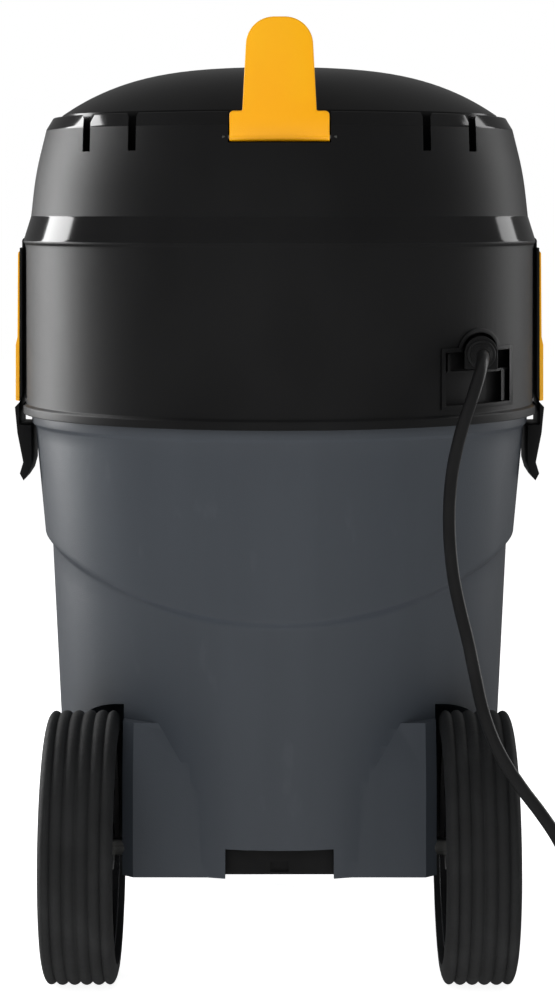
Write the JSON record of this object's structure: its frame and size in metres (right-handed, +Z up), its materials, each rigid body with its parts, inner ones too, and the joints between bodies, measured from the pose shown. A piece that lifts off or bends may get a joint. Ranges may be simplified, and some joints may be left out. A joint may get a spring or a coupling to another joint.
{
  "type": "shop vacuum",
  "caption": "Wet and dry canister vacuum: a swept drum tank on big rear wheels and front casters, with a latched power head, a folding cord hook and a mains cord.",
  "frame": {"origin": "on the floor, under the middle of the drum", "axes": "+Z up; +Y towards the hose inlet at the front; -Y towards the big wheels, the hook and the cord at the back; +X to the right seen from behind"},
  "size_m": [0.5654, 0.4919, 0.689],
  "materials": {
    "black_plastic": "satin, fine-grained mouldings",
    "tank_grey": "blue-grey, lightly textured",
    "yellow_plastic": "semi-gloss",
    "tyre_rubber": "matt, moulded ribs",
    "cord_rubber": "matt, flexible",
    "steel": "zinc plated",
    "motor_iron": "laminations and windings, varnished",
    "filter_paper": "pleated paper",
    "white_plastic": "natural moulding"
  },
  "bodies": {
    "vacuum": {"head_shell": "black_plastic", "head_deck": "black_plastic", "head_dome": "black_plastic", "cord_entry_panel": "black_plastic", "switch_bezel": "black_plastic", "exhaust_grille": "black_plastic", "head_base": "black_plastic", "axle_cradle": "black_plastic", "caster_foot_left": "black_plastic", "caster_foot_right": "black_plastic", "inlet_port": "black_plastic", "filter_end_cap": "black_plastic", "filter_nut": "yellow_plastic", "tank": "tank_grey", "mains_cord": "cord_rubber", "cord_coil": "cord_rubber", "cord_tail": "cord_rubber", "plug_body": "cord_rubber", "strain_relief": "cord_rubber", "rim_seal": "cord_rubber", "rear_axle": "steel", "hook_pin": "steel", "latch_pin_left": "steel", "latch_pin_right": "steel", "lower_bearing": "steel", "upper_bearing": "steel", "filter_stud": "steel", "plug_blade_left": "steel", "plug_blade_right": "steel", "plug_ground_pin": "steel", "inlet_screw_1": "steel", "inlet_screw_2": "steel", "inlet_screw_3": "steel", "inlet_screw_4": "steel", "stator": "motor_iron", "filter_cartridge": "filter_paper", "fan_housing": "white_plastic", "motor_housing": "white_plastic", "float_cage": "white_plastic"},
    "wheel_left": {"tyre_left": "tyre_rubber", "wheel_hub_left": "black_plastic", "axle_cap_left": "black_plastic"},
    "caster_fork_left": {"caster_fork_left": "steel", "caster_pin_left": "steel"},
    "caster_wheel_left": {"caster_wheel_left": "tyre_rubber"},
    "latch_left": {"latch_left": "black_plastic", "latch_face_left": "yellow_plastic"},
    "wheel_right": {"tyre_right": "tyre_rubber", "wheel_hub_right": "black_plastic", "axle_cap_right": "black_plastic"},
    "caster_fork_right": {"caster_fork_right": "steel", "caster_pin_right": "steel"},
    "caster_wheel_right": {"caster_wheel_right": "tyre_rubber"},
    "latch_right": {"latch_right": "black_plastic", "latch_face_right": "yellow_plastic"},
    "cord_hook": {"cord_hook": "yellow_plastic"},
    "switch": {"switch_rocker": "yellow_plastic"},
    "rotor": {"motor_rotor": "motor_iron", "suction_fan": "steel"},
    "float": {"float_ball": "white_plastic"}
  },
  "joints": [
    {"name": "wheel_left_spin", "type": "hinge", "parent": "vacuum", "child": "wheel_left", "pos_m": [-0.138, -0.14, 0.096], "axis": [1, 0, 0], "continuous": true},
    {"name": "wheel_right_spin", "type": "hinge", "parent": "vacuum", "child": "wheel_right", "pos_m": [0.138, -0.14, 0.096], "axis": [1, 0, 0], "continuous": true},
    {"name": "caster_left_swivel", "type": "hinge", "parent": "vacuum", "child": "caster_fork_left", "pos_m": [-0.085, 0.172, 0.075], "axis": [0, 0, 1], "continuous": true},
    {"name": "caster_left_roll", "type": "hinge", "parent": "caster_fork_left", "child": "caster_wheel_left", "pos_m": [-0.085, 0.186, 0.028], "axis": [1, 0, 0], "continuous": true},
    {"name": "caster_right_swivel", "type": "hinge", "parent": "vacuum", "child": "caster_fork_right", "pos_m": [0.085, 0.172, 0.075], "axis": [0, 0, 1], "continuous": true},
    {"name": "caster_right_roll", "type": "hinge", "parent": "caster_fork_right", "child": "caster_wheel_right", "pos_m": [0.085, 0.186, 0.028], "axis": [1, 0, 0], "continuous": true},
    {"name": "cord_hook_fold", "type": "hinge", "parent": "vacuum", "child": "cord_hook", "pos_m": [0, -0.175, 0.604], "axis": [1, 0, 0], "range_deg": [0, 85]},
    {"name": "latch_left_swing", "type": "hinge", "parent": "vacuum", "child": "latch_left", "pos_m": [-0.1938, 0, 0.5285], "axis": [0, 1, 0], "range_deg": [0, 60]},
    {"name": "latch_right_swing", "type": "hinge", "parent": "vacuum", "child": "latch_right", "pos_m": [0.1938, 0, 0.5285], "axis": [0, -1, 0], "range_deg": [0, 60]},
    {"name": "switch_rock", "type": "hinge", "parent": "vacuum", "child": "switch", "pos_m": [0, 0.1945, 0.47], "axis": [-1, 0, 0], "range_deg": [0, 16]},
    {"name": "rotor_spin", "type": "hinge", "parent": "vacuum", "child": "rotor", "pos_m": [0, 0, 0.5], "axis": [0, 0, 1], "continuous": true},
    {"name": "float_rise", "type": "slide", "parent": "vacuum", "child": "float", "axis": [0, 0, 1], "range_m": [0, 0.028]}
  ]
}
